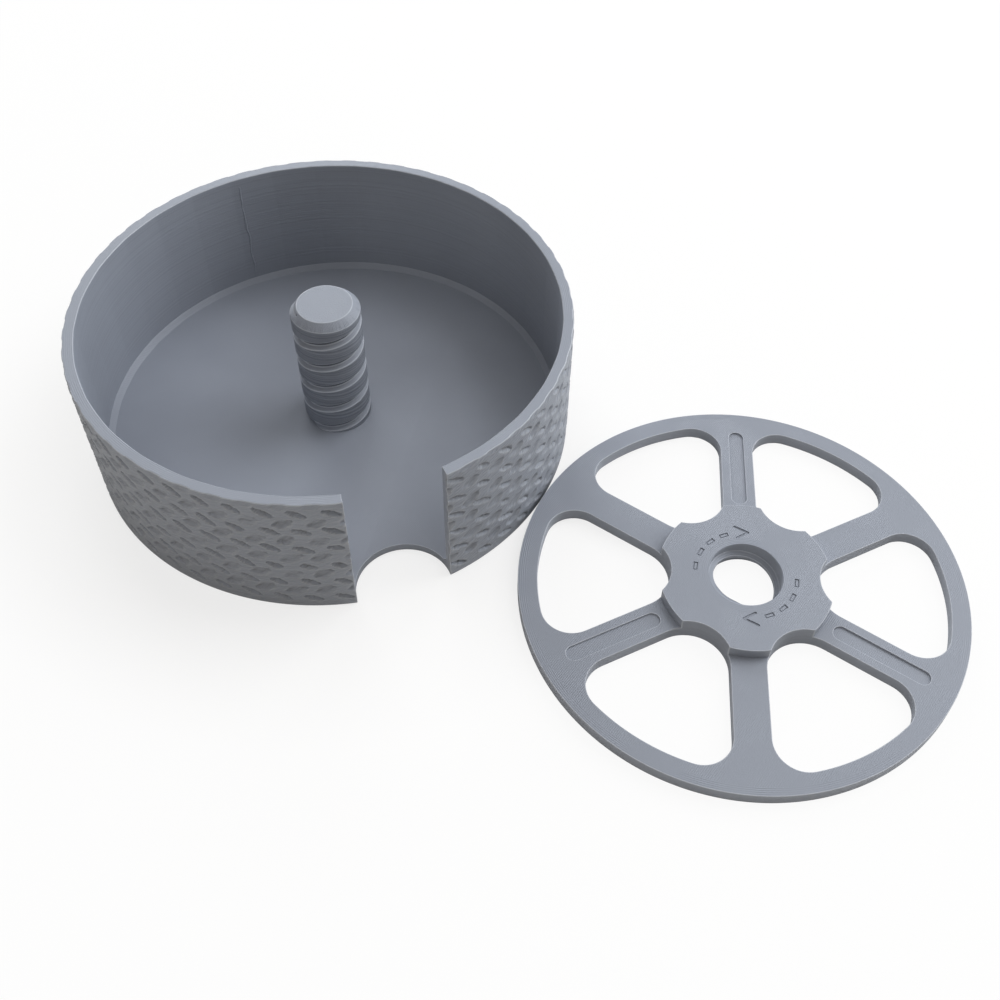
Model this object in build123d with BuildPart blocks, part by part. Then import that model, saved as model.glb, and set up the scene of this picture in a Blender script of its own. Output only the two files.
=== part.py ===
from build123d import *
import os
from math import asin, cos, degrees, radians, sin

# Printed storage case for 125 mm grinding discs. The discs are stacked over a threaded post that
# stands in the middle of a round tub, and a spoked lid screws down the post onto the stack.
# The origin is the centre of the tub's underside, on the post's axis. +Z is up, and the finger
# cut in the tub's wall faces -Y. The lid is off and lies on the table beside the tub.

# Discs that the case holds
disc_diameter = 125.0
disc_bore = 22.23
disc_edge_clearance = 2.5
disc_bore_clearance = 1.6

# Tub
wall_thickness = 3.0
wall_height = 42.5
floor_thickness = 2.5
floor_corner_chamfer = 1.5
finger_cut_radius = 12.75

# Threaded post
post_above_rim = 1.8
post_chamfer = 2.0

# Thread, single start and right-handed, cut as a groove into the post
thread_pitch = 8.2
groove_depth = 1.3
groove_mouth = 2.7
groove_root = 1.3
groove_front_angle = -99.5
groove_front_drop = 6.8
thread_clearance = 0.35

# Lid
lid_edge_clearance = 4.25
lid_rim_width = 5.25
lid_plate_thickness = 3.8
hub_radius = 23.5
hub_waist_radius = 20.0
hub_height = 7.0
spoke_count = 6
spoke_width = 9.4
window_corner_radius = 8.0
recess_length = 27.0
recess_width = 4.2
recess_depth = 0.6
recess_hub_gap = 3.0
ridge_top_angle = -112.0

# Where the lid lies
lid_direction = -49.0
lid_gap = 0.9
lid_spoke_angle = 5.0

# Sizes that follow from the ones above
wall_inner_radius = disc_diameter / 2 + disc_edge_clearance
wall_outer_radius = wall_inner_radius + wall_thickness
wall_middle_radius = (wall_inner_radius + wall_outer_radius) / 2
post_radius = disc_bore / 2 - disc_bore_clearance
post_top = wall_height + post_above_rim
groove_root_radius = post_radius - groove_depth
lid_radius = wall_inner_radius - lid_edge_clearance
lid_bore_radius = post_radius + thread_clearance
window_outer_radius = lid_radius - lid_rim_width
lid_distance = wall_outer_radius + lid_gap + lid_radius
lid_centre = (
    lid_distance * cos(radians(lid_direction)),
    lid_distance * sin(radians(lid_direction)),
    0,
)

# How far a cutter or a joined piece reaches past the surface that it meets
overlap = 0.5


def helical_bar(inner_radius, outer_radius, inner_width, outer_width, height):
    """Bar of trapezoid section, wound right-handed about Z from the +X side upwards."""
    with BuildPart() as bar:
        with BuildLine():
            path = Helix(pitch=thread_pitch, height=height, radius=inner_radius)
        with BuildSketch(Plane.XZ):
            with BuildLine():
                Polyline(
                    (inner_radius, -inner_width / 2),
                    (outer_radius, -outer_width / 2),
                    (outer_radius, outer_width / 2),
                    (inner_radius, inner_width / 2),
                    close=True,
                )
            make_face()
        sweep(path=path, is_frenet=True)
    return bar.part


def groove_width(radius):
    """Axial width of the post's groove at a radius, also a little outside the post."""
    return groove_root + (groove_mouth - groove_root) * (radius - groove_root_radius) / groove_depth


# Tub: a round floor and wall, with one round finger cut through both
with BuildPart() as case_body:
    with BuildSketch():
        Circle(wall_outer_radius)
    extrude(amount=wall_height)
    with BuildSketch(Plane.XY.offset(floor_thickness)):
        Circle(wall_inner_radius)
    extrude(amount=wall_height - floor_thickness, mode=Mode.SUBTRACT)
    floor_edge = (
        case_body.edges()
        .filter_by(GeomType.CIRCLE)
        .filter_by_position(Axis.Z, floor_thickness - overlap, floor_thickness + overlap)
    )
    chamfer(floor_edge, length=floor_corner_chamfer)
    with BuildSketch(Plane.XY.offset(-overlap)):
        with Locations((0, -wall_middle_radius)):
            Circle(finger_cut_radius)
    extrude(amount=wall_height + 2 * overlap, mode=Mode.SUBTRACT)

# Post: a bar that is a pitch too long at both ends is grooved, then trimmed to a chamfered
# cylinder on the floor, so that the groove runs out through the bottom and the chamfer.
groove_start = floor_thickness - groove_mouth
groove_end = post_top + groove_mouth
groove_front_height = post_top - groove_front_drop
groove_turn = groove_front_angle - 360 * (groove_front_height - groove_start) / thread_pitch

with BuildPart() as threaded_post:
    with BuildSketch(Plane.XY.offset(floor_thickness - thread_pitch)):
        Circle(post_radius)
    extrude(amount=post_top - floor_thickness + 2 * thread_pitch)
    with Locations(Location((0, 0, groove_start), (0, 0, groove_turn))):
        add(
            helical_bar(
                groove_root_radius,
                post_radius + overlap,
                groove_width(groove_root_radius),
                groove_width(post_radius + overlap),
                groove_end - groove_start,
            ),
            mode=Mode.SUBTRACT,
        )
    with BuildSketch(Plane.XZ):
        Polygon(
            (0, floor_thickness),
            (post_radius + overlap, floor_thickness),
            (post_radius + overlap, post_top - post_chamfer - overlap),
            (post_radius - post_chamfer, post_top),
            (0, post_top),
            align=None,
        )
    revolve(axis=Axis.Z, mode=Mode.INTERSECT)

# Lid: a plate with a raised hub, six windows cut through both, and shallow recesses on every
# other spoke. The windows' round inner ends give the hub its scallops.
lid_plane = Plane(
    origin=lid_centre,
    x_dir=(cos(radians(lid_spoke_angle)), sin(radians(lid_spoke_angle)), 0),
    z_dir=(0, 0, 1),
)
half_pitch = 180 / spoke_count
spoke_half = spoke_width / 2
window_end_centre = (hub_waist_radius - spoke_half) / (1 - sin(radians(half_pitch)))
window_end_radius = window_end_centre - hub_waist_radius
window_side_x = window_end_centre - window_end_radius * sin(radians(half_pitch))
window_side_y = window_end_radius * cos(radians(half_pitch))
window_corner_angle = half_pitch - degrees(asin(spoke_half / window_outer_radius))
window_corner_x = window_outer_radius * cos(radians(window_corner_angle))
window_corner_y = window_outer_radius * sin(radians(window_corner_angle))

with BuildSketch() as window:
    with BuildLine():
        Line((window_side_x, window_side_y), (window_corner_x, window_corner_y))
        ThreePointArc(
            (window_corner_x, window_corner_y),
            (window_outer_radius, 0),
            (window_corner_x, -window_corner_y),
        )
        Line((window_corner_x, -window_corner_y), (window_side_x, -window_side_y))
        ThreePointArc(
            (window_side_x, -window_side_y),
            (hub_waist_radius, 0),
            (window_side_x, window_side_y),
        )
    make_face()
    fillet(window.vertices().group_by(Axis.X)[-1], radius=window_corner_radius)

# Ridge in the lid's bore, a pitch too long at both ends before it is trimmed to the hub
ridge_radius = groove_root_radius + thread_clearance
ridge_root_radius = lid_bore_radius + overlap
ridge_turn = ridge_top_angle - lid_spoke_angle - 360 * (hub_height + thread_pitch) / thread_pitch

with BuildPart() as nut_ridge:
    with Locations(Location((0, 0, -thread_pitch), (0, 0, ridge_turn))):
        add(
            helical_bar(
                ridge_radius,
                ridge_root_radius,
                groove_width(ridge_radius) - 2 * thread_clearance,
                groove_width(ridge_root_radius) - 2 * thread_clearance,
                hub_height + 2 * thread_pitch,
            )
        )
    with BuildSketch():
        Circle(hub_radius)
    extrude(amount=hub_height, mode=Mode.INTERSECT)

with BuildPart(lid_plane) as screw_lid:
    with BuildSketch(lid_plane):
        Circle(lid_radius)
    extrude(amount=lid_plate_thickness)
    with BuildSketch(lid_plane):
        Circle(hub_radius)
    extrude(amount=hub_height)
    with BuildSketch(lid_plane):
        with PolarLocations(0, spoke_count, start_angle=half_pitch):
            add(window.sketch)
    extrude(amount=hub_height, mode=Mode.SUBTRACT)
    with BuildSketch(lid_plane.offset(lid_plate_thickness)):
        with PolarLocations(
            hub_radius + recess_hub_gap + recess_length / 2, spoke_count // 2, start_angle=2 * half_pitch
        ):
            SlotOverall(recess_length, recess_width)
    extrude(amount=-recess_depth, mode=Mode.SUBTRACT)
    with BuildSketch(lid_plane):
        Circle(lid_bore_radius)
    extrude(amount=hub_height, mode=Mode.SUBTRACT)
    add(nut_ridge.part)

case_body.part.label = "case_body"
threaded_post.part.label = "threaded_post"
screw_lid.part.label = "screw_lid"

os.makedirs("parts", exist_ok=True)
export_step(case_body.part, "parts/case_body.step")
export_step(threaded_post.part, "parts/threaded_post.step")
export_step(screw_lid.part, "parts/screw_lid.step")
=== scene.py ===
import bmesh
import bpy
import numpy as np
from math import asin, cos, pi, radians, sin
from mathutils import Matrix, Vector


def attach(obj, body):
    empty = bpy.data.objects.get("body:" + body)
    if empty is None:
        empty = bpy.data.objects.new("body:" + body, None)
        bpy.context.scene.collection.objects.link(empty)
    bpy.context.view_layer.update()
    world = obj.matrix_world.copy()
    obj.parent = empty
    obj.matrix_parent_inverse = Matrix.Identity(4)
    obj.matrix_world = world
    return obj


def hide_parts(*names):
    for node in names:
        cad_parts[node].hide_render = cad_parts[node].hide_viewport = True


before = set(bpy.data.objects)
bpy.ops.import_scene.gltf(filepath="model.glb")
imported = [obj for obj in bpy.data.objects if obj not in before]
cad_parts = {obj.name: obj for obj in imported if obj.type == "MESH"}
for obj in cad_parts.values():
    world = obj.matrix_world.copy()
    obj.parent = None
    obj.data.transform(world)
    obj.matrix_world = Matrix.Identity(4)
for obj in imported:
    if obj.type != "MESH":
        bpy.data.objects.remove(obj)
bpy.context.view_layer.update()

# The tub: floor and wall are one print in matte blue-grey plastic. Outside, the wall has rows of shallow
# slanted dents, like a coarse weave. Inside it is plain, with broad flat bands from the coarse rounding of
# the print file. A round finger cut goes through the wall and the floor at the front.
tub_outer_radius = 0.0680
tub_inner_radius = 0.0650
tub_height = 0.0425
tub_floor = 0.0025
tub_floor_chamfer = 0.0015
wall_middle = (tub_outer_radius + tub_inner_radius) / 2
rim_softening = 0.0002
wall_columns = 864
wall_rows = 96
spare_columns = 24
strip_length = 2 * pi * tub_outer_radius
cells_round = 54
cell_width = strip_length / cells_round
cell_height = 0.0070


def pick_points(piece, picked):
    """In edit mode, select only the points of a piece that are picked, given as a list of yes or no."""
    bpy.ops.mesh.select_mode(type="VERT")
    bpy.ops.mesh.select_all(action="DESELECT")
    shape = bmesh.from_edit_mesh(piece.data)
    shape.verts.ensure_lookup_table()
    for number in np.flatnonzero(picked):
        shape.verts[number].select_set(True)
    shape.select_flush(True)
    bmesh.update_edit_mesh(piece.data)


def points_of(piece):
    """Places of all the points of a piece that is in edit mode, one row of x, y, z each."""
    return np.array([point.co[:] for point in bmesh.from_edit_mesh(piece.data).verts])


def add_node(tree, kind, x, y, **settings):
    """Put a node on a tree at a place of its own, with its settings."""
    made = tree.nodes.new(kind)
    made.location = (x, y)
    for name, value in settings.items():
        setattr(made, name, value)
    return made


def join_nodes(tree, *pairs):
    """Lead each first socket to the second one."""
    for start, end in pairs:
        tree.links.new(start, end)


def new_group(name, inputs, outputs):
    """Start a shader group with number and vector sockets. Returns its tree, entry and exit."""
    tree = bpy.data.node_groups.new(name, "ShaderNodeTree")
    for label, kind in inputs:
        tree.interface.new_socket(name=label, in_out="INPUT", socket_type=kind)
    for label in outputs:
        tree.interface.new_socket(name=label, in_out="OUTPUT", socket_type="NodeSocketFloat")
    return tree, add_node(tree, "NodeGroupInput", -900, 0), add_node(tree, "NodeGroupOutput", 900, 0)


def away_from_axis(tree, place, x, y):
    """Measure how far a place is from the Z axis, with two nodes. Returns the socket that says it."""
    flat = add_node(tree, "ShaderNodeVectorMath", x, y, operation="MULTIPLY")
    flat.inputs[1].default_value = (1, 1, 0)
    away = add_node(tree, "ShaderNodeVectorMath", x + 200, y, operation="LENGTH")
    join_nodes(tree, (place, flat.inputs[0]), (flat.outputs[0], away.inputs[0]))
    return away.outputs["Value"]


# Layer lines on upright faces: a rounded ridge for each layer, with some layers laid heavier than others
layers, entry, way_out = new_group(
    "layer_lines", (("Position", "NodeSocketVector"), ("Layer", "NodeSocketFloat")), ("Height",)
)
split = add_node(layers, "ShaderNodeSeparateXYZ", -700, 0)
count = add_node(layers, "ShaderNodeMath", -500, 0, operation="DIVIDE")
heavy = add_node(layers, "ShaderNodeTexNoise", -300, -150, noise_dimensions="1D")
heavy.inputs["Scale"].default_value = 0.42
heavy.inputs["Detail"].default_value = 2
streak = add_node(layers, "ShaderNodeMapRange", -100, -150)
streak.inputs["From Min"].default_value = 0.32
streak.inputs["From Max"].default_value = 0.68
turn = add_node(layers, "ShaderNodeMath", -300, 100, operation="MULTIPLY")
turn.inputs[1].default_value = 2 * pi
wave = add_node(layers, "ShaderNodeMath", -100, 100, operation="SINE")
ridge = add_node(layers, "ShaderNodeMath", 100, 100, operation="MULTIPLY_ADD")
ridge.inputs[1].default_value = 0.15
ridge.inputs[2].default_value = 0.15
both = add_node(layers, "ShaderNodeMath", 300, 0, operation="MULTIPLY_ADD")
both.inputs[1].default_value = 0.7
join_nodes(
    layers,
    (entry.outputs["Position"], split.inputs[0]),
    (split.outputs["Z"], count.inputs[0]),
    (entry.outputs["Layer"], count.inputs[1]),
    (count.outputs[0], heavy.inputs["W"]),
    (count.outputs[0], turn.inputs[0]),
    (heavy.outputs["Fac"], streak.inputs["Value"]),
    (turn.outputs[0], wave.inputs[0]),
    (wave.outputs[0], ridge.inputs[0]),
    (streak.outputs[0], both.inputs[0]),
    (ridge.outputs[0], both.inputs[2]),
    (both.outputs[0], way_out.inputs["Height"]),
)

# Nozzle passes on level faces: slanting lines that fill the middle, and rings along the inner and outer edges
passes, entry, way_out = new_group(
    "top_passes",
    (
        ("Position", "NodeSocketVector"),
        ("Direction", "NodeSocketVector"),
        ("Spacing", "NodeSocketFloat"),
        ("Rings Inside", "NodeSocketFloat"),
        ("Rings Outside", "NodeSocketFloat"),
    ),
    ("Height",),
)
far = away_from_axis(passes, entry.outputs["Position"], -700, 200)
dot = add_node(passes, "ShaderNodeVectorMath", -500, 0, operation="DOT_PRODUCT")
near = add_node(passes, "ShaderNodeMath", -300, 350, operation="LESS_THAN")
beyond = add_node(passes, "ShaderNodeMath", -300, 200, operation="GREATER_THAN")
ringed = add_node(passes, "ShaderNodeMath", -100, 300, operation="MAXIMUM")
chosen = add_node(passes, "ShaderNodeMix", 100, 200, data_type="FLOAT")
spaced = add_node(passes, "ShaderNodeMath", 250, 200, operation="DIVIDE")
turn = add_node(passes, "ShaderNodeMath", 400, 200, operation="MULTIPLY")
turn.inputs[1].default_value = 2 * pi
wave = add_node(passes, "ShaderNodeMath", 550, 200, operation="SINE")
ridge = add_node(passes, "ShaderNodeMath", 700, 200, operation="MULTIPLY_ADD")
ridge.inputs[1].default_value = 0.5
ridge.inputs[2].default_value = 0.5
patchy = add_node(passes, "ShaderNodeTexNoise", -100, -200)
patchy.inputs["Scale"].default_value = 75
patchy.inputs["Detail"].default_value = 1
shown = add_node(passes, "ShaderNodeMapRange", 100, -200)
shown.inputs["From Min"].default_value = 0.42
shown.inputs["From Max"].default_value = 0.62
shown.inputs["To Min"].default_value = 0.25
out = add_node(passes, "ShaderNodeMath", 800, -50, operation="MULTIPLY")
join_nodes(
    passes,
    (entry.outputs["Position"], patchy.inputs["Vector"]),
    (entry.outputs["Position"], dot.inputs[0]),
    (entry.outputs["Direction"], dot.inputs[1]),
    (far, near.inputs[0]),
    (entry.outputs["Rings Inside"], near.inputs[1]),
    (far, beyond.inputs[0]),
    (entry.outputs["Rings Outside"], beyond.inputs[1]),
    (near.outputs[0], ringed.inputs[0]),
    (beyond.outputs[0], ringed.inputs[1]),
    (ringed.outputs[0], chosen.inputs["Factor"]),
    (dot.outputs["Value"], chosen.inputs[2]),
    (far, chosen.inputs[3]),
    (chosen.outputs[0], spaced.inputs[0]),
    (entry.outputs["Spacing"], spaced.inputs[1]),
    (spaced.outputs[0], turn.inputs[0]),
    (turn.outputs[0], wave.inputs[0]),
    (wave.outputs[0], ridge.inputs[0]),
    (patchy.outputs["Fac"], shown.inputs["Value"]),
    (ridge.outputs[0], out.inputs[0]),
    (shown.outputs[0], out.inputs[1]),
    (out.outputs[0], way_out.inputs["Height"]),
)

# Unevenness of the plastic itself: broad cloudy tone, and a fine grain where the surface is dull
cloud, entry, way_out = new_group("plastic_cloud", (("Position", "NodeSocketVector"),), ("Tone", "Grain"))
broad = add_node(cloud, "ShaderNodeTexNoise", -400, 150)
broad.inputs["Scale"].default_value = 60
broad.inputs["Detail"].default_value = 3
fine = add_node(cloud, "ShaderNodeTexNoise", -400, -150)
fine.inputs["Scale"].default_value = 2600
fine.inputs["Detail"].default_value = 2
join_nodes(
    cloud,
    (entry.outputs["Position"], broad.inputs["Vector"]),
    (entry.outputs["Position"], fine.inputs["Vector"]),
    (broad.outputs["Fac"], way_out.inputs["Tone"]),
    (fine.outputs["Fac"], way_out.inputs["Grain"]),
)

# Softened edges: a paler colour painted on as a highlight, and a little smoother than the faces beside them
highlit_edge_plastic = bpy.data.materials.new("highlit_edge_plastic")
highlit_edge_plastic.use_nodes = True
tree = highlit_edge_plastic.node_tree
skin = tree.nodes["Principled BSDF"]
place = add_node(tree, "ShaderNodeTexCoord", -900, 0)
body = add_node(tree, "ShaderNodeGroup", -700, 0, node_tree=cloud)
# The paler tones are the painted highlight on the edges
tone = add_node(tree, "ShaderNodeMix", -400, 200, data_type="RGBA")
tone.inputs["A"].default_value = (0.40, 0.42, 0.46, 1)
tone.inputs["B"].default_value = (0.46, 0.48, 0.52, 1)
rough = add_node(tree, "ShaderNodeMapRange", -400, -50)
rough.inputs["To Min"].default_value = 0.36
rough.inputs["To Max"].default_value = 0.50
bump = add_node(tree, "ShaderNodeBump", -400, -350)
bump.inputs["Distance"].default_value = 0.00002
join_nodes(
    tree,
    (place.outputs["Object"], body.inputs["Position"]),
    (body.outputs["Grain"], tone.inputs["Factor"]),
    (body.outputs["Tone"], rough.inputs["Value"]),
    (body.outputs["Grain"], bump.inputs["Height"]),
    (tone.outputs["Result"], skin.inputs["Base Color"]),
    (rough.outputs[0], skin.inputs["Roughness"]),
    (bump.outputs[0], skin.inputs["Normal"]),
)

# How the printer laid the plastic: height of a layer, spacing and slant of the passes
layer_height = 0.00028
pass_spacing = 0.00050
line_turn = radians(32)


def printed_plastic(
    name, centre, rings_inside, rings_outside, line_depth, valley_shade, pass_share, dark_within=0.0
):
    """Matte blue-grey printed plastic: layer lines on upright faces, and nozzle passes on level ones at a
    share of their depth, with painted shade darkening the valleys of both.
    Upright faces within a radius of the centre, as in a groove, can be darkened further with painted shade."""
    made = bpy.data.materials.new(name)
    made.use_nodes = True
    tree = made.node_tree
    skin = tree.nodes["Principled BSDF"]
    skin.location = (900, 0)
    tree.nodes["Material Output"].location = (1200, 0)
    place = add_node(tree, "ShaderNodeTexCoord", -1100, 0)
    centred = add_node(tree, "ShaderNodeMapping", -900, 0)
    centred.inputs["Location"].default_value = (-centre[0], -centre[1], 0)
    facing = add_node(tree, "ShaderNodeSeparateXYZ", -900, 300)
    steep = add_node(tree, "ShaderNodeMath", -700, 300, operation="ABSOLUTE")
    level = add_node(tree, "ShaderNodeMapRange", -500, 300)
    level.name = "level"
    level.inputs["From Min"].default_value = 0.55
    level.inputs["From Max"].default_value = 0.70
    side = add_node(tree, "ShaderNodeGroup", -600, 50, node_tree=layers)
    side.inputs["Layer"].default_value = layer_height
    top = add_node(tree, "ShaderNodeGroup", -600, -100, node_tree=passes)
    top.inputs["Direction"].default_value = (-sin(line_turn), cos(line_turn), 0)
    top.inputs["Spacing"].default_value = pass_spacing
    top.inputs["Rings Inside"].default_value = rings_inside
    top.inputs["Rings Outside"].default_value = rings_outside
    body = add_node(tree, "ShaderNodeGroup", -600, -300, node_tree=cloud)
    faint = add_node(tree, "ShaderNodeMath", -400, -100, operation="MULTIPLY")
    faint.inputs[1].default_value = pass_share
    relief = add_node(tree, "ShaderNodeMix", -300, 0, data_type="FLOAT")
    grained = add_node(tree, "ShaderNodeMath", -100, 0, operation="MULTIPLY_ADD")
    grained.inputs[1].default_value = 0.35
    bump = add_node(tree, "ShaderNodeBump", 600, -250)
    bump.inputs["Distance"].default_value = line_depth
    tone = add_node(tree, "ShaderNodeMix", 0, 300, data_type="RGBA")
    tone.inputs["A"].default_value = (0.293, 0.315, 0.361, 1)
    tone.inputs["B"].default_value = (0.325, 0.347, 0.393, 1)
    # Painted shade: the valleys of the layer lines and passes are darkened towards this tone
    valley_shaded = add_node(tree, "ShaderNodeMix", 200, 300, data_type="RGBA", blend_type="MULTIPLY")
    valley_shaded.inputs["B"].default_value = (valley_shade, valley_shade, valley_shade, 1)
    groove = add_node(tree, "ShaderNodeMath", 0, 100, operation="MULTIPLY_ADD")
    groove.inputs[1].default_value = -0.9
    groove.inputs[2].default_value = 0.9
    lined_there = add_node(tree, "ShaderNodeMapRange", 0, -50)
    lined_there.inputs["To Min"].default_value = 1
    lined_there.inputs["To Max"].default_value = pass_share
    amount = add_node(tree, "ShaderNodeMath", 150, 100, operation="MULTIPLY")
    rough = add_node(tree, "ShaderNodeMapRange", 200, 0)
    rough.inputs["To Min"].default_value = 0.44
    rough.inputs["To Max"].default_value = 0.60
    join_nodes(
        tree,
        (place.outputs["Object"], centred.inputs["Vector"]),
        (place.outputs["Normal"], facing.inputs[0]),
        (facing.outputs["Z"], steep.inputs[0]),
        (steep.outputs[0], level.inputs["Value"]),
        (place.outputs["Object"], side.inputs["Position"]),
        (centred.outputs[0], top.inputs["Position"]),
        (place.outputs["Object"], body.inputs["Position"]),
        (level.outputs[0], relief.inputs["Factor"]),
        (side.outputs["Height"], relief.inputs[2]),
        (top.outputs["Height"], faint.inputs[0]),
        (faint.outputs[0], relief.inputs[3]),
        (body.outputs["Grain"], grained.inputs[0]),
        (relief.outputs[0], grained.inputs[2]),
        (grained.outputs[0], bump.inputs["Height"]),
        (bump.outputs[0], skin.inputs["Normal"]),
        (body.outputs["Tone"], tone.inputs["Factor"]),
        (tone.outputs["Result"], valley_shaded.inputs["A"]),
        (relief.outputs[0], groove.inputs[0]),
        (level.outputs[0], lined_there.inputs["Value"]),
        (groove.outputs[0], amount.inputs[0]),
        (lined_there.outputs[0], amount.inputs[1]),
        (amount.outputs[0], valley_shaded.inputs["Factor"]),
        (valley_shaded.outputs["Result"], skin.inputs["Base Color"]),
        (body.outputs["Tone"], rough.inputs["Value"]),
        (rough.outputs[0], skin.inputs["Roughness"]),
    )
    # Painted shade in a groove: upright faces within the radius are darkened to half
    if dark_within:
        away = away_from_axis(tree, centred.outputs[0], -700, -600)
        deep = add_node(tree, "ShaderNodeMapRange", -300, -600)
        deep.inputs["From Min"].default_value = dark_within
        deep.inputs["From Max"].default_value = dark_within - 0.0005
        upright = add_node(tree, "ShaderNodeMath", -300, -800, operation="SUBTRACT")
        upright.inputs[0].default_value = 1
        painted_groove_shade = add_node(tree, "ShaderNodeMath", -100, -600, operation="MULTIPLY")
        groove_shaded = add_node(tree, "ShaderNodeMix", 400, 300, data_type="RGBA", blend_type="MULTIPLY")
        groove_shaded.inputs["B"].default_value = (0.50, 0.50, 0.50, 1)
        join_nodes(
            tree,
            (away, deep.inputs["Value"]),
            (level.outputs[0], upright.inputs[1]),
            (deep.outputs[0], painted_groove_shade.inputs[0]),
            (upright.outputs[0], painted_groove_shade.inputs[1]),
            (painted_groove_shade.outputs[0], groove_shaded.inputs["Factor"]),
            (valley_shaded.outputs["Result"], groove_shaded.inputs["A"]),
            (groove_shaded.outputs["Result"], skin.inputs["Base Color"]),
        )
    return made


# Fine strands, too small for the mesh, slant over the wall: how many a level line crosses all round, and how
# far their pattern turns for each metre upwards
strands_round = 152
strands_up = 5257
strand_tangle = 14


def dent_painted_light_and_strands(material, beyond):
    """Beyond a radius, paint the proud edges of the wall's dents paler as a painted highlight, paint their
    hollows darker and warmer as painted shade, and raise the fine strands."""
    tree = material.node_tree
    skin = tree.nodes["Principled BSDF"]
    place = tree.nodes["Texture Coordinate"]
    plain = skin.inputs["Base Color"].links[0].from_socket
    shape = add_node(tree, "ShaderNodeNewGeometry", -1100, -400)
    away = away_from_axis(tree, place.outputs["Object"], -900, -600)
    outside = add_node(tree, "ShaderNodeMath", -500, -600, operation="GREATER_THAN")
    outside.inputs[1].default_value = beyond
    upright = add_node(tree, "ShaderNodeMath", -500, -900, operation="LESS_THAN")
    upright.inputs[1].default_value = 0.5
    there = add_node(tree, "ShaderNodeMath", -400, -800, operation="MULTIPLY")
    split = add_node(tree, "ShaderNodeSeparateXYZ", -900, -1200)
    round_turn = add_node(tree, "ShaderNodeMath", -700, -1200, operation="ARCTAN2")
    rise = add_node(tree, "ShaderNodeMath", -700, -1400, operation="MULTIPLY")
    rise.inputs[1].default_value = strands_up
    count = add_node(tree, "ShaderNodeMath", -500, -1200, operation="MULTIPLY_ADD")
    count.inputs[1].default_value = -strands_round
    frayed = add_node(tree, "ShaderNodeTexNoise", -700, -1600)
    frayed.inputs["Scale"].default_value = 260
    frayed.inputs["Detail"].default_value = 2
    tangle = add_node(tree, "ShaderNodeMath", -300, -1200, operation="MULTIPLY_ADD")
    tangle.inputs[1].default_value = strand_tangle
    thread = add_node(tree, "ShaderNodeMath", -100, -1200, operation="SINE")
    proud = add_node(tree, "ShaderNodeMapRange", 100, -1200)
    proud.inputs["From Min"].default_value = 0.1
    proud.inputs["From Max"].default_value = 0.9
    proud.inputs["To Max"].default_value = 1.3
    proud_there = add_node(tree, "ShaderNodeMath", 250, -1200, operation="MULTIPLY")
    height = add_node(tree, "ShaderNodeMath", 400, -1000, operation="ADD")
    bump = skin.inputs["Normal"].links[0].from_node
    plain_height = bump.inputs["Height"].links[0].from_socket
    edge = add_node(tree, "ShaderNodeMapRange", -500, -400)
    edge.inputs["From Min"].default_value = 0.505
    edge.inputs["From Max"].default_value = 0.57
    edge.inputs["To Max"].default_value = 0.60
    edge_there = add_node(tree, "ShaderNodeMath", -300, -400, operation="MULTIPLY")
    # Painted highlight on the dents' proud edges
    edge_highlit = add_node(tree, "ShaderNodeMix", 400, 300, data_type="RGBA")
    edge_highlit.inputs["B"].default_value = (0.45, 0.45, 0.46, 1)
    hollow = add_node(tree, "ShaderNodeMapRange", -500, -750)
    hollow.inputs["From Min"].default_value = 0.495
    hollow.inputs["From Max"].default_value = 0.42
    hollow.inputs["To Min"].default_value = 0.14
    hollow.inputs["To Max"].default_value = 0.75
    hollow_there = add_node(tree, "ShaderNodeMath", -300, -650, operation="MULTIPLY")
    # Painted shade, darker and warmer, in the dents' hollows
    hollow_shaded = add_node(tree, "ShaderNodeMix", 600, 300, data_type="RGBA", blend_type="MULTIPLY")
    hollow_shaded.inputs["B"].default_value = (0.62, 0.57, 0.49, 1)
    join_nodes(
        tree,
        (away, outside.inputs[0]),
        (tree.nodes["level"].outputs[0], upright.inputs[0]),
        (outside.outputs[0], there.inputs[0]),
        (upright.outputs[0], there.inputs[1]),
        (place.outputs["Object"], split.inputs[0]),
        (split.outputs["Y"], round_turn.inputs[0]),
        (split.outputs["X"], round_turn.inputs[1]),
        (split.outputs["Z"], rise.inputs[0]),
        (round_turn.outputs[0], count.inputs[0]),
        (rise.outputs[0], count.inputs[2]),
        (place.outputs["Object"], frayed.inputs["Vector"]),
        (frayed.outputs["Fac"], tangle.inputs[0]),
        (count.outputs[0], tangle.inputs[2]),
        (tangle.outputs[0], thread.inputs[0]),
        (thread.outputs[0], proud.inputs["Value"]),
        (proud.outputs[0], proud_there.inputs[0]),
        (there.outputs[0], proud_there.inputs[1]),
        (plain_height, height.inputs[0]),
        (proud_there.outputs[0], height.inputs[1]),
        (height.outputs[0], bump.inputs["Height"]),
        (shape.outputs["Pointiness"], edge.inputs["Value"]),
        (shape.outputs["Pointiness"], hollow.inputs["Value"]),
        (edge.outputs[0], edge_there.inputs[0]),
        (there.outputs[0], edge_there.inputs[1]),
        (hollow.outputs[0], hollow_there.inputs[0]),
        (there.outputs[0], hollow_there.inputs[1]),
        (plain, edge_highlit.inputs["A"]),
        (edge_there.outputs[0], edge_highlit.inputs["Factor"]),
        (edge_highlit.outputs["Result"], hollow_shaded.inputs["A"]),
        (hollow_there.outputs[0], hollow_shaded.inputs["Factor"]),
        (hollow_shaded.outputs["Result"], skin.inputs["Base Color"]),
    )


tub_plastic = printed_plastic(
    "tub_plastic",
    centre=(0, 0),
    rings_inside=0.011,
    rings_outside=0.0645,
    line_depth=0.00005,
    valley_shade=0.86,
    pass_share=0.6,
)
# On the outside of the wall: a painted highlight on the dents' edges, painted shade in their hollows, and
# raised strands
dent_painted_light_and_strands(tub_plastic, beyond=0.0664)

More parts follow.
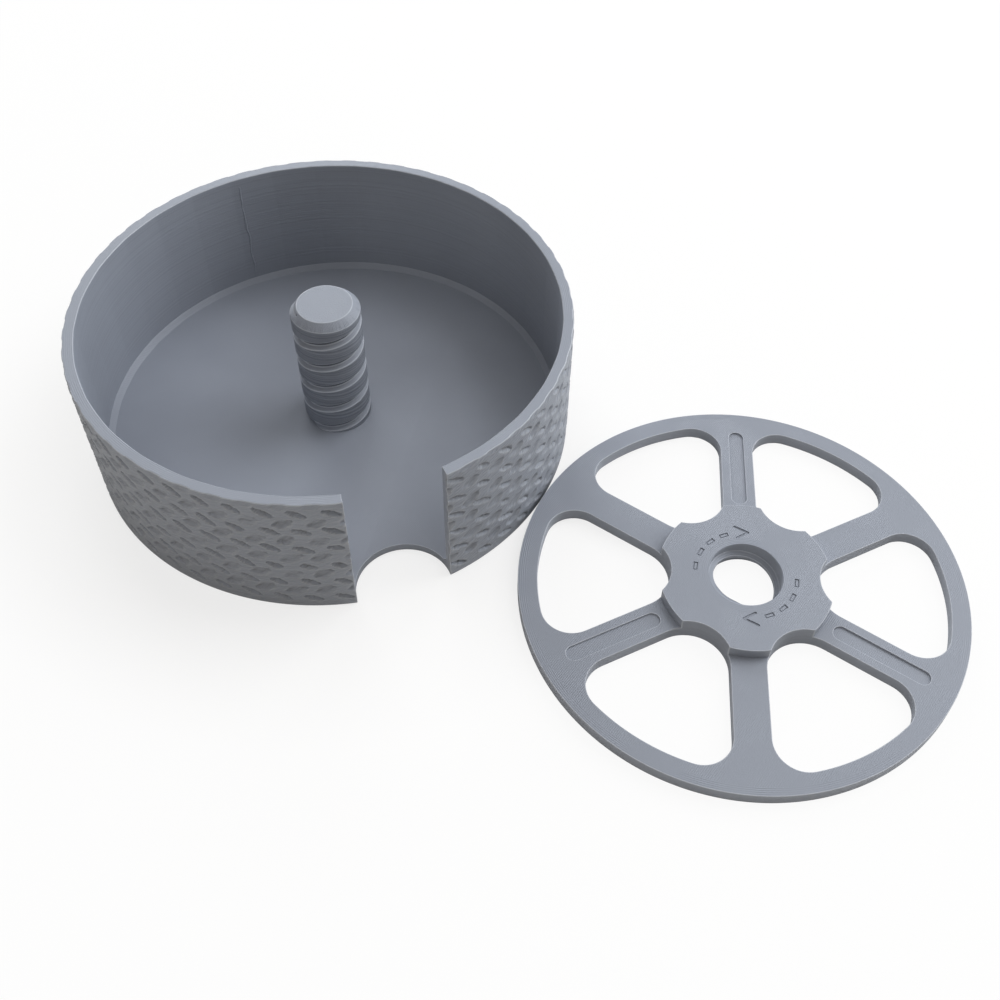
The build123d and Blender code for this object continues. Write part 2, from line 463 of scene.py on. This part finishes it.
# A flat strip of the wall, as long as the wall is round and a little over, has its outside to the front
bpy.ops.object.select_all(action="DESELECT")
bpy.ops.mesh.primitive_grid_add(
    x_subdivisions=wall_columns + 2 * spare_columns,
    y_subdivisions=wall_rows,
    size=1,
    location=(0, 0, tub_height / 2),
    rotation=(pi / 2, 0, 0),
)
tub = bpy.context.object
tub.name = "tub"
tub.data.materials.append(tub_plastic)
tub.data.materials.append(highlit_edge_plastic)
tub.scale = (strip_length * (1 + 2 * spare_columns / wall_columns), tub_height, 1)
bpy.ops.object.transform_apply(location=True, rotation=True, scale=True)

# The dents are pressed into the strip. A long dent falls to the right, and a wider one half a cell further on
# rises to the right. Each is a little off its place, with a thin strand left proud along its lower side. A
# row is given as its kind of dent, height, first turn and depth, and the one under the rim is the faintest.
strand_height = 0.00014
long_dent = {"length": 0.0052, "width": 0.0014, "fall": -0.46, "reach": 0.00058}
wide_dent = {"length": 0.0056, "width": 0.0029, "fall": 0.42, "reach": 0.00062}
rows = [(long_dent, 0.0040 + row * cell_height, -123.5, 0.00090) for row in range(6)]
rows += [(wide_dent, 0.0075 + row * cell_height, -120.2, 0.00062) for row in range(5)]
rows += [(wide_dent, 0.0427, -120.2, 0.00020)]
chance = np.random.default_rng(11)
bpy.ops.object.mode_set(mode="EDIT")
bpy.ops.transform.translate(value=(0, strand_height, 0))
spots = points_of(tub)
for dent, middle_height, first_turn, depth in rows:
    offs = chance.normal(0, 0.00018, (cells_round, 2))
    falls = dent["fall"] + chance.normal(0, 0.07, cells_round)
    halves = dent["length"] / 2 * (1 + chance.normal(0, 0.10, cells_round))
    presses = chance.integers(0, 3, cells_round)
    place = (spots[:, 0] - tub_outer_radius * radians(first_turn + 90)) / cell_width
    cell = np.rint(place).astype(int)
    one = cell % cells_round
    across = (place - cell) * cell_width - offs[one, 0]
    up = spots[:, 2] - middle_height - offs[one, 1]
    slant = np.sqrt(1 + falls[one] ** 2)
    along = (across + up * falls[one]) / slant
    beside = (up - across * falls[one]) / slant
    half_width = dent["width"] / 2 * (1 - np.abs(along / halves[one]) ** 1.6)
    within = np.abs(along) < halves[one]
    for press in range(3):
        for share, part in ((0.55, 1.0), (0.45, 0.55)):
            pick_points(tub, within & (np.abs(beside) < half_width * part) & (presses[one] == press))
            bpy.ops.transform.translate(
                value=(0, depth * share * (0.80 + 0.20 * press), 0),
                use_proportional_edit=True,
                proportional_edit_falloff="SMOOTH",
                proportional_size=dent["reach"],
            )
    strand = within & (beside < -half_width - 0.00040) & (beside > -half_width - 0.00085)
    pick_points(tub, strand & (spots[:, 2] < tub_height - 0.0006))
    bpy.ops.transform.translate(value=(0, -strand_height, 0))
bpy.ops.mesh.select_all(action="SELECT")
bpy.ops.mesh.vertices_smooth(factor=0.12, repeat=1, xaxis=False, yaxis=True, zaxis=False)

# The spare ends come off, and the strip is rolled up into the wall
pick_points(tub, np.abs(spots[:, 0]) > strip_length / 2 + 0.4 * strip_length / wall_columns)
bpy.ops.mesh.delete(type="VERT")
bpy.ops.object.mode_set(mode="OBJECT")
roll = tub.modifiers.new("roll", "SIMPLE_DEFORM")
roll.deform_method = "BEND"
roll.deform_axis = "Z"
roll.angle = 2 * pi
bpy.ops.object.modifier_apply(modifier="roll")
tub.location = (0, -tub_outer_radius, 0)
bpy.ops.object.transform_apply(location=True)
bpy.ops.object.mode_set(mode="EDIT")
bpy.ops.mesh.select_all(action="SELECT")
bpy.ops.mesh.remove_doubles(threshold=0.00005)

# The underside closes the wall's lower edge. The inside is a ring of nearly round bands that goes down to the
# floor, and is joined to the outside over the rim. It starts above the rim, to be told from it.
band_count = 32
band_rounding = 0.72
ring_lift = 0.0020
underside_softening = 0.0003
pick_points(tub, points_of(tub)[:, 2] < 0.00001)
bpy.ops.mesh.edge_face_add()
bpy.ops.mesh.bevel(offset=underside_softening, segments=1)
bpy.ops.mesh.select_all(action="DESELECT")
bpy.ops.mesh.primitive_circle_add(
    vertices=band_count,
    radius=tub_inner_radius + 0.00010 + rim_softening,
    location=(0, 0, tub_height + ring_lift),
)
bpy.ops.mesh.subdivide(number_cuts=wall_columns // band_count - 1)
bpy.ops.transform.tosphere(value=band_rounding)
for down, narrower in (
    (ring_lift + rim_softening, rim_softening),
    (tub_height - rim_softening - tub_floor - tub_floor_chamfer, 0),
    (tub_floor_chamfer, tub_floor_chamfer),
):
    bpy.ops.mesh.extrude_region_move(TRANSFORM_OT_translate={"value": (0, 0, -down)})
    share = 1 - narrower / tub_inner_radius
    bpy.ops.transform.resize(value=(share, share, 1), center_override=(0, 0, 0))
bpy.ops.mesh.edge_face_add()
pick_points(tub, points_of(tub)[:, 2] > tub_height - 0.00001)
bpy.ops.mesh.bridge_edge_loops()
pick_points(tub, points_of(tub)[:, 2] > tub_height + ring_lift / 2)
bpy.ops.transform.translate(value=(0, 0, -ring_lift))
spots = points_of(tub)
outer = np.hypot(spots[:, 0], spots[:, 1]) > wall_middle
pick_points(tub, outer & (spots[:, 2] > tub_height - 0.00001))
# The rim's bevel gets the edge plastic, with its painted highlight
bpy.ops.mesh.bevel(offset=rim_softening, segments=1, material=1)
# The inner rim's chamfer gets the edge plastic too, with its painted highlight
spots = points_of(tub)
inner = np.hypot(spots[:, 0], spots[:, 1]) < wall_middle
pick_points(tub, inner & (spots[:, 2] > tub_height - 1.2 * rim_softening))
tub.active_material_index = 1
bpy.ops.object.material_slot_assign()
bpy.ops.mesh.select_all(action="SELECT")
bpy.ops.mesh.normals_make_consistent(inside=False)
bpy.ops.object.mode_set(mode="OBJECT")


def work(piece, other, way):
    """Cut another shape out of a piece, join it on or keep what both share. The other shape is used up."""
    bpy.ops.object.select_all(action="DESELECT")
    bpy.context.view_layer.objects.active = piece
    piece.select_set(True)
    join = piece.modifiers.new("join", "BOOLEAN")
    join.operation = way
    join.object = other
    join.solver = "MANIFOLD"
    bpy.ops.object.modifier_apply(modifier="join")
    bpy.data.objects.remove(other)


def soften_edges(piece, width, least_angle, middle=(0, 0), within=1.0, merge=0.00003):
    """Take the sharpness off a piece's outward edges that turn by more than an angle, within reach of a spot.
    Points closer than merge are joined first, where a cut has left slivers."""
    bpy.ops.object.mode_set(mode="EDIT")
    spots = points_of(piece)
    near = np.hypot(spots[:, 0] - middle[0], spots[:, 1] - middle[1]) < within
    pick_points(piece, near)
    bpy.ops.mesh.remove_doubles(threshold=merge)
    bpy.ops.mesh.select_mode(type="EDGE")
    bpy.ops.mesh.select_all(action="DESELECT")
    shape = bmesh.from_edit_mesh(piece.data)
    for edge in shape.edges:
        away = max(np.hypot(end.co.x - middle[0], end.co.y - middle[1]) for end in edge.verts)
        if away < within and edge.is_manifold and edge.calc_face_angle_signed() > least_angle:
            edge.select_set(True)
    bmesh.update_edit_mesh(piece.data)
    # The bevel faces get the edge plastic, with its painted highlight
    bpy.ops.mesh.bevel(offset=width, segments=2, clamp_overlap=False, material=1)
    bpy.ops.mesh.select_mode(type="VERT")
    bpy.ops.object.mode_set(mode="OBJECT")


# The print seam inside: a thin uneven bead up the wall, where each layer began
seam_turn = radians(99.2)
seam_away = tub_inner_radius + 0.00002
seam_top = 0.0395
seam_length = 0.0335
seam_parts = 40
bpy.ops.mesh.primitive_cylinder_add(
    vertices=8,
    radius=0.00030,
    depth=seam_length,
    location=(seam_away * cos(seam_turn), seam_away * sin(seam_turn), seam_top - seam_length / 2),
)
seam = bpy.context.object
bpy.ops.object.transform_apply(location=True)
bpy.ops.object.mode_set(mode="EDIT")
for cut in range(1, seam_parts):
    bpy.ops.mesh.select_all(action="SELECT")
    bpy.ops.mesh.bisect(plane_co=(0, 0, seam_top - seam_length * cut / seam_parts), plane_no=(0, 0, 1))
for step in range(20):
    height = seam_top - seam_length * chance.random()
    pick_points(seam, np.abs(points_of(seam)[:, 2] - height) < 0.0007)
    bpy.ops.transform.translate(
        value=(chance.normal(0, 0.00010), chance.normal(0, 0.00006), 0),
        use_proportional_edit=True,
        proportional_edit_falloff="SMOOTH",
        proportional_size=0.0025,
    )
bpy.ops.object.mode_set(mode="OBJECT")
work(tub, seam, "UNION")

# The finger cut is one round hole, centred in the wall's thickness
cut_radius = 0.01275
cut_softening = 0.00014
bpy.ops.mesh.primitive_cylinder_add(
    vertices=160, radius=cut_radius, depth=0.05, location=(0, -wall_middle, tub_height / 2)
)
work(tub, bpy.context.object, "DIFFERENCE")
soften_edges(
    tub,
    cut_softening,
    radians(60),
    middle=(0, -wall_middle),
    within=cut_radius + 0.00025,
    merge=0.00015,
)
bpy.ops.object.material_slot_remove_unused()
bpy.ops.object.shade_smooth_by_angle(angle=radians(35))
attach(tub, "case")
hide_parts("case_body")

# The post: a single coarse right-handed thread, printed as a groove in a round bar, that the discs go over.
# The groove runs out through the chamfer at the top. The post stands on the floor, fused to it in printing.
post_radius = 0.009515
post_top = 0.0443
post_chamfer = 0.0020
thread_pitch = 0.0082
groove_root_radius = 0.008215
groove_mouth = 0.0027
groove_root = 0.0013
groove_front_turn = radians(-99.5)
groove_front_drop = 0.0068
groove_softening = 0.00022
post_softening = 0.00016
envelope_margin = 0.0005


def groove_width(radius):
    """Height of the post's groove at a radius, also a little outside the post."""
    slope = (groove_mouth - groove_root) / (post_radius - groove_root_radius)
    return groove_root + slope * (radius - groove_root_radius)


def threaded_bar(name, plastic, crest, root, mouth, bottom, height, turn, turns, softening):
    """Bar with one helical groove, as wide as mouth at the crest radius and as bottom at the root radius,
    that crosses the height at the turn. It reaches from well under the table to well above the height."""
    bpy.ops.object.select_all(action="DESELECT")
    bpy.ops.mesh.primitive_plane_add(size=0.001)
    bar = bpy.context.object
    bar.name = name
    bar.data.materials.append(plastic)
    bar.data.materials.append(highlit_edge_plastic)
    bpy.ops.object.mode_set(mode="EDIT")
    bpy.ops.mesh.merge(type="CENTER")
    bpy.ops.transform.translate(value=(crest, 0, -thread_pitch / 2))
    for out, up in (
        (0, (thread_pitch - mouth) / 2),
        (root - crest, (mouth - bottom) / 2),
        (0, bottom),
        (crest - root, (mouth - bottom) / 2),
        (0, (thread_pitch - mouth) / 2),
    ):
        bpy.ops.mesh.extrude_region_move(TRANSFORM_OT_translate={"value": (out, 0, up)})
    bpy.ops.object.mode_set(mode="OBJECT")
    wind = bar.modifiers.new("wind", "SCREW")
    wind.axis = "Z"
    wind.angle = 2 * pi
    wind.screw_offset = thread_pitch
    wind.iterations = turns
    wind.steps = wind.render_steps = 120
    bpy.ops.object.modifier_apply(modifier="wind")
    bpy.ops.object.mode_set(mode="EDIT")
    bpy.ops.mesh.select_all(action="SELECT")
    bpy.ops.mesh.remove_doubles(threshold=0.000002)
    bpy.ops.mesh.normals_make_consistent(inside=False)
    bpy.ops.object.mode_set(mode="OBJECT")
    soften = bar.modifiers.new("soften", "BEVEL")
    soften.width = softening
    soften.segments = 2
    soften.limit_method = "ANGLE"
    soften.angle_limit = radians(30)
    # The bevel faces get the edge plastic, with its painted highlight
    soften.material = 1
    bpy.ops.object.modifier_apply(modifier="soften")
    bpy.ops.object.mode_set(mode="EDIT")
    middle = thread_pitch * turns / 2
    for below in (True, False):
        bpy.ops.mesh.select_all(action="DESELECT")
        bpy.ops.mesh.select_non_manifold(extend=False)
        open_edge = np.array([point.select for point in bmesh.from_edit_mesh(bar.data).verts])
        pick_points(bar, open_edge & ((points_of(bar)[:, 2] < middle) == below))
        bpy.ops.mesh.extrude_edges_move()
        bpy.ops.mesh.merge(type="CENTER")
    bpy.ops.mesh.select_all(action="SELECT")
    bpy.ops.mesh.normals_make_consistent(inside=False)
    bpy.ops.object.mode_set(mode="OBJECT")
    bar.location = (0, 0, height - thread_pitch * np.ceil((height + 1.5 * thread_pitch) / thread_pitch))
    bar.rotation_euler = (0, 0, turn)
    bpy.ops.object.transform_apply(location=True, rotation=True)
    return bar


# The post's plastic carries painted shade: strong darkening in the line valleys, and darker upright faces in
# its groove
post_plastic = printed_plastic(
    "post_plastic",
    centre=(0, 0),
    rings_inside=0.0,
    rings_outside=0.0100,
    line_depth=0.00024,
    valley_shade=0.50,
    pass_share=0.15,
    dark_within=0.0092,
)
post = threaded_bar(
    "post",
    post_plastic,
    crest=post_radius,
    root=groove_root_radius,
    mouth=groove_mouth,
    bottom=groove_root,
    height=post_top - groove_front_drop,
    turn=groove_front_turn,
    turns=9,
    softening=groove_softening,
)
bpy.ops.mesh.primitive_cylinder_add(
    vertices=144,
    radius=post_radius + envelope_margin,
    depth=post_top - tub_floor,
    location=(0, 0, (post_top + tub_floor) / 2),
)
envelope = bpy.context.object
bpy.ops.object.transform_apply(location=True)
bpy.ops.object.mode_set(mode="EDIT")
pick_points(envelope, points_of(envelope)[:, 2] > post_top - 0.0001)
bpy.ops.mesh.bevel(offset=post_chamfer + envelope_margin, segments=1)
bpy.ops.object.mode_set(mode="OBJECT")
work(post, envelope, "INTERSECT")


def shade_evenly(piece, sharp_angle):
    """Shade smoothly over softened edges, with the large faces kept flat."""
    bpy.ops.object.material_slot_remove_unused()
    bpy.ops.object.shade_smooth_by_angle(angle=sharp_angle)
    weigh = piece.modifiers.new("weigh", "WEIGHTED_NORMAL")
    weigh.keep_sharp = True
    bpy.ops.object.modifier_apply(modifier="weigh")


soften_edges(post, post_softening, radians(38))
shade_evenly(post, radians(40))
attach(post, "case")
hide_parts("threaded_post")

# The lid: a flat spoked plate with a raised hub, printed in the same plastic. Six windows go through plate
# and hub, every other spoke has a long shallow recess, and dashed arrows on the hub show which way it turns.
lid_radius = 0.06075
lid_plate = 0.0038
hub_radius = 0.0235
hub_height = 0.0070
spoke_width = 0.0094
window_outer_radius = 0.0555
window_corner = 0.0080
hub_waist_radius = 0.0200
window_end_centre = (hub_waist_radius - spoke_width / 2) / (1 - sin(radians(30)))
window_end_radius = window_end_centre - hub_waist_radius
thread_clearance = 0.00035
lid_bore_radius = post_radius + thread_clearance
lid_centre = (0.08506, -0.09785)
lid_turn = radians(5)
lid_softening = 0.00022

bpy.ops.object.select_all(action="DESELECT")
bpy.ops.mesh.primitive_cylinder_add(
    vertices=288, radius=lid_radius, depth=lid_plate, location=(0, 0, lid_plate / 2)
)
lid = bpy.context.object
lid.name = "lid"
lid_plastic = printed_plastic(
    "lid_plastic",
    centre=lid_centre,
    rings_inside=0.0120,
    rings_outside=0.0585,
    line_depth=0.00006,
    valley_shade=0.86,
    pass_share=1.0,
)
lid.data.materials.append(lid_plastic)
lid.data.materials.append(highlit_edge_plastic)
bpy.ops.object.transform_apply(location=True)
bpy.ops.mesh.primitive_cylinder_add(
    vertices=192, radius=hub_radius, depth=hub_height - 0.001, location=(0, 0, (hub_height + 0.001) / 2)
)
work(lid, bpy.context.object, "UNION")

# One window is drawn with arcs and straights, raised into a cutter and repeated round the hub. In a script,
# spin and rotate turn clockwise for a positive angle.
corner_away = window_outer_radius - window_corner
corner_turn = radians(30) - asin((spoke_width / 2 + window_corner) / corner_away)
corner_spot = (corner_away * cos(corner_turn), corner_away * sin(corner_turn))
end_spot = (window_end_centre + window_end_radius * cos(radians(120)), window_end_radius * sin(radians(120)))
side_spot = (
    corner_spot[0] + window_corner * cos(radians(120)),
    corner_spot[1] + window_corner * sin(radians(120)),
)
bpy.ops.mesh.primitive_plane_add(size=0.001)
window = bpy.context.object
bpy.ops.object.mode_set(mode="EDIT")
bpy.ops.mesh.merge(type="CENTER")
bpy.ops.transform.translate(
    value=(window_outer_radius * cos(corner_turn), -window_outer_radius * sin(corner_turn), -0.002)
)
bpy.ops.mesh.spin(steps=24, angle=-2 * corner_turn, center=(0, 0, 0), axis=(0, 0, 1))
bpy.ops.mesh.spin(
    steps=16, angle=corner_turn - radians(120), center=(corner_spot[0], corner_spot[1], 0), axis=(0, 0, 1)
)
bpy.ops.mesh.extrude_region_move(
    TRANSFORM_OT_translate={"value": (end_spot[0] - side_spot[0], end_spot[1] - side_spot[1], 0)}
)
bpy.ops.mesh.spin(steps=32, angle=-radians(120), center=(window_end_centre, 0, 0), axis=(0, 0, 1))
bpy.ops.mesh.extrude_region_move(
    TRANSFORM_OT_translate={"value": (side_spot[0] - end_spot[0], end_spot[1] - side_spot[1], 0)}
)
bpy.ops.mesh.spin(
    steps=16, angle=corner_turn - radians(120), center=(corner_spot[0], -corner_spot[1], 0), axis=(0, 0, 1)
)
bpy.ops.mesh.select_all(action="SELECT")
bpy.ops.mesh.remove_doubles(threshold=0.00001)
bpy.ops.mesh.edge_face_add()
bpy.ops.mesh.extrude_region_move(TRANSFORM_OT_translate={"value": (0, 0, 0.012)})
bpy.ops.mesh.select_all(action="SELECT")
bpy.ops.mesh.normals_make_consistent(inside=False)
bpy.ops.transform.rotate(value=-radians(30), orient_axis="Z", center_override=(0, 0, 0))
bpy.ops.mesh.spin(steps=5, dupli=True, angle=radians(300), center=(0, 0, 0), axis=(0, 0, 1))
bpy.ops.object.mode_set(mode="OBJECT")
work(lid, window, "DIFFERENCE")


def round_ended_slot(length, width, middle, turn, top, depth, x_points):
    """Cutter for a slot with round ends, centred on a spot and turned, its bottom a depth under the top."""
    bpy.ops.object.select_all(action="DESELECT")
    bpy.ops.mesh.primitive_cylinder_add(
        vertices=x_points, radius=width / 2, depth=depth + 0.001, location=(0, 0, top + 0.0005 - depth / 2)
    )
    made = bpy.context.object
    bpy.ops.object.transform_apply(location=True)
    bpy.ops.object.mode_set(mode="EDIT")
    spots = points_of(made)
    for way in (-1, 1):
        pick_points(made, spots[:, 0] * way > 0)
        bpy.ops.transform.translate(value=(way * (length - width) / 2, 0, 0))
    bpy.ops.object.mode_set(mode="OBJECT")
    made.location = (middle[0], middle[1], 0)
    made.rotation_euler = (0, 0, turn)
    bpy.ops.object.transform_apply(location=True, rotation=True)
    return made


# Recesses on three of the spokes
recess_length = 0.0270
recess_width = 0.0042
recess_depth = 0.0006
recess_middle = hub_radius + 0.0030 + recess_length / 2
for spoke in range(3):
    turn = radians(60 + 120 * spoke)
    middle = (recess_middle * cos(turn), recess_middle * sin(turn))
    recess = round_ended_slot(recess_length, recess_width, middle, turn, lid_plate, recess_depth, 50)
    work(lid, recess, "DIFFERENCE")
soften_edges(lid, lid_softening, radians(50))

# Arrows: four dashes on an arc, engraved as outlines, and a chevron of two strokes, all twice
arrow_radius = 0.0136
mark_depth = 0.00034
stroke_width = 0.0008
stroke_overhang = 0.0007
tip_radius = 0.0140
barb_radii = (0.0159, 0.0121)
for half_turn in (0, pi):
    for dash_turn in (143, 122, 103, 84):
        turn = radians(dash_turn) + half_turn
        for length, width, top, way in (
            (0.0026, 0.00122, hub_height + mark_depth, "DIFFERENCE"),
            (0.0019, 0.00056, hub_height - 0.3 * mark_depth, "UNION"),
        ):
            bpy.ops.mesh.primitive_cube_add(
                size=1,
                location=(arrow_radius * cos(turn), arrow_radius * sin(turn), top - mark_depth),
                rotation=(0, 0, turn + pi / 2),
                scale=(length, width, 2 * mark_depth),
            )
            work(lid, bpy.context.object, way)
    tip_turn = radians(55) + half_turn
    tip = Vector((tip_radius * cos(tip_turn), tip_radius * sin(tip_turn)))
    barb_turn = radians(69) + half_turn
    for barb_radius in barb_radii:
        barb = Vector((barb_radius * cos(barb_turn), barb_radius * sin(barb_turn)))
        arm = tip - barb
        turn = arm.angle_signed(Vector((1, 0)))
        length = arm.length + stroke_overhang
        stroke = round_ended_slot(length, stroke_width, (tip + barb) / 2, turn, hub_height, mark_depth, 14)
        work(lid, stroke, "DIFFERENCE")

# The bore is cut with a bar of the post's thread, a little larger, which leaves the lid's own ridge, and its
# upper edge is softened with a cone
ridge_radius = groove_root_radius + thread_clearance
ridge_top_turn = radians(-112)
ridge_softening = 0.00015
cone_height = 0.0020
cone_below = 0.0008
bore_bar = threaded_bar(
    "bore_bar",
    lid_plastic,
    crest=lid_bore_radius,
    root=ridge_radius,
    mouth=groove_width(lid_bore_radius) - 2 * thread_clearance,
    bottom=groove_width(ridge_radius) - 2 * thread_clearance,
    height=hub_height,
    turn=ridge_top_turn - lid_turn,
    turns=6,
    softening=ridge_softening,
)
work(lid, bore_bar, "DIFFERENCE")
bpy.ops.mesh.primitive_cone_add(
    vertices=120,
    radius1=lid_bore_radius - cone_below,
    radius2=lid_bore_radius - cone_below + cone_height,
    depth=cone_height,
    location=(0, 0, hub_height + cone_height / 2 - lid_softening - cone_below),
)
work(lid, bpy.context.object, "DIFFERENCE")

# The lid lies beside the tub, flat on the table
lid.location = (lid_centre[0], lid_centre[1], 0)
lid.rotation_euler = (0, 0, lid_turn)
bpy.ops.object.transform_apply(location=True, rotation=True)
shade_evenly(lid, radians(40))
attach(lid, "lid")
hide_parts("screw_lid")

# The table: a white top that keeps a soft shadow near the tub. To the camera it also glows white, a painted
# light whose share grows with distance from the tub axis, so the shadow fades out further away
bpy.ops.object.select_all(action="DESELECT")
bpy.ops.mesh.primitive_circle_add(vertices=96, radius=3, fill_type="NGON", location=(0, 0, 0))
table = bpy.context.object
table.name = "table_top"
white = bpy.data.materials.new("table_white")
white.use_nodes = True
tree = white.node_tree
paint = tree.nodes["Principled BSDF"]
paint.inputs["Base Color"].default_value = (0.93, 0.91, 0.87, 1)
paint.inputs["Roughness"].default_value = 0.9
paint.inputs["Specular IOR Level"].default_value = 0.1
glow = add_node(tree, "ShaderNodeEmission", 0, -400)
seen = add_node(tree, "ShaderNodeLightPath", -400, 400)
place = add_node(tree, "ShaderNodeTexCoord", -800, 200)
away = add_node(tree, "ShaderNodeVectorMath", -600, 200, operation="LENGTH")
brighter = add_node(tree, "ShaderNodeValToRGB", -400, 200)
brighter.color_ramp.elements[0].position = 0.074
brighter.color_ramp.elements[0].color = (0.74, 0.74, 0.74, 1)
brighter.color_ramp.elements[1].position = 0.110
brighter.color_ramp.elements[1].color = (0.91, 0.91, 0.91, 1)
farthest = brighter.color_ramp.elements.new(0.6)
farthest.color = (1, 1, 1, 1)
share = add_node(tree, "ShaderNodeMath", -200, 400, operation="MULTIPLY")
blend = add_node(tree, "ShaderNodeMixShader", 350, 0)
join_nodes(
    tree,
    (place.outputs["Object"], away.inputs[0]),
    (away.outputs["Value"], brighter.inputs["Fac"]),
    (brighter.outputs[0], share.inputs[1]),
    (seen.outputs["Is Camera Ray"], share.inputs[0]),
    (share.outputs[0], blend.inputs[0]),
    (paint.outputs[0], blend.inputs[1]),
    (glow.outputs[0], blend.inputs[2]),
    (blend.outputs[0], tree.nodes["Material Output"].inputs["Surface"]),
)
table.data.materials.append(white)

# The room: white to the camera, a faint warm light otherwise
room = bpy.data.worlds.new("room")
bpy.context.scene.world = room
room.use_nodes = True
tree = room.node_tree
seen = add_node(tree, "ShaderNodeLightPath", -600, 200)
shade = add_node(tree, "ShaderNodeMix", -300, 200, data_type="RGBA")
shade.inputs["A"].default_value = (0.110, 0.095, 0.075, 1)
shade.inputs["B"].default_value = (1, 1, 1, 1)
join_nodes(
    tree,
    (seen.outputs["Is Camera Ray"], shade.inputs["Factor"]),
    (shade.outputs["Result"], tree.nodes["Background"].inputs["Color"]),
)

# Softboxes, each with its place, width, power and colour: a wide one overhead, two on the right, one behind,
# and weak ones on the left and in front
lit_middle = Vector((0.03, -0.04, 0.02))
for name, spot, size, power, colour in (
    ("overhead_box", (0.1, 0.1, 1.3), 1.6, 6.3, (0.97, 1.0, 1.06)),
    ("upper_right_box", (0.9, 0.1, 0.9), 0.9, 7.4, (0.97, 1.0, 1.06)),
    ("right_box", (1.3, -0.1, 0.35), 0.9, 8.6, (0.95, 1.0, 1.05)),
    ("rear_box", (0.1, 1.3, 0.5), 0.9, 12.0, (0.95, 1.0, 1.06)),
    ("left_box", (-1.3, 0.0, 0.5), 0.9, 2.4, (1, 1, 1)),
    ("front_box", (0.0, -1.3, 0.6), 0.9, 2.3, (1, 1, 1)),
):
    bpy.ops.object.light_add(type="AREA", location=spot)
    box = bpy.context.object
    box.name = name
    box.data.shape = "SQUARE"
    box.data.size = size
    box.data.energy = power
    box.data.color = colour
    box.rotation_euler = (Vector(spot) - lit_middle).to_track_quat("Z", "Y").to_euler()

# The camera, from the front left and above
bpy.ops.object.camera_add(
    location=(-0.03816, -0.24034, 0.26223),
    rotation=(radians(41.224), radians(-3.400), radians(-22.431)),
)
camera = bpy.context.object
camera.data.lens = 42.149
camera.data.sensor_width = 36
camera.data.shift_x = -0.080
camera.data.shift_y = -0.060
camera.data.clip_start = 0.01
bpy.context.scene.camera = camera
bpy.context.scene.view_settings.view_transform = "Standard"
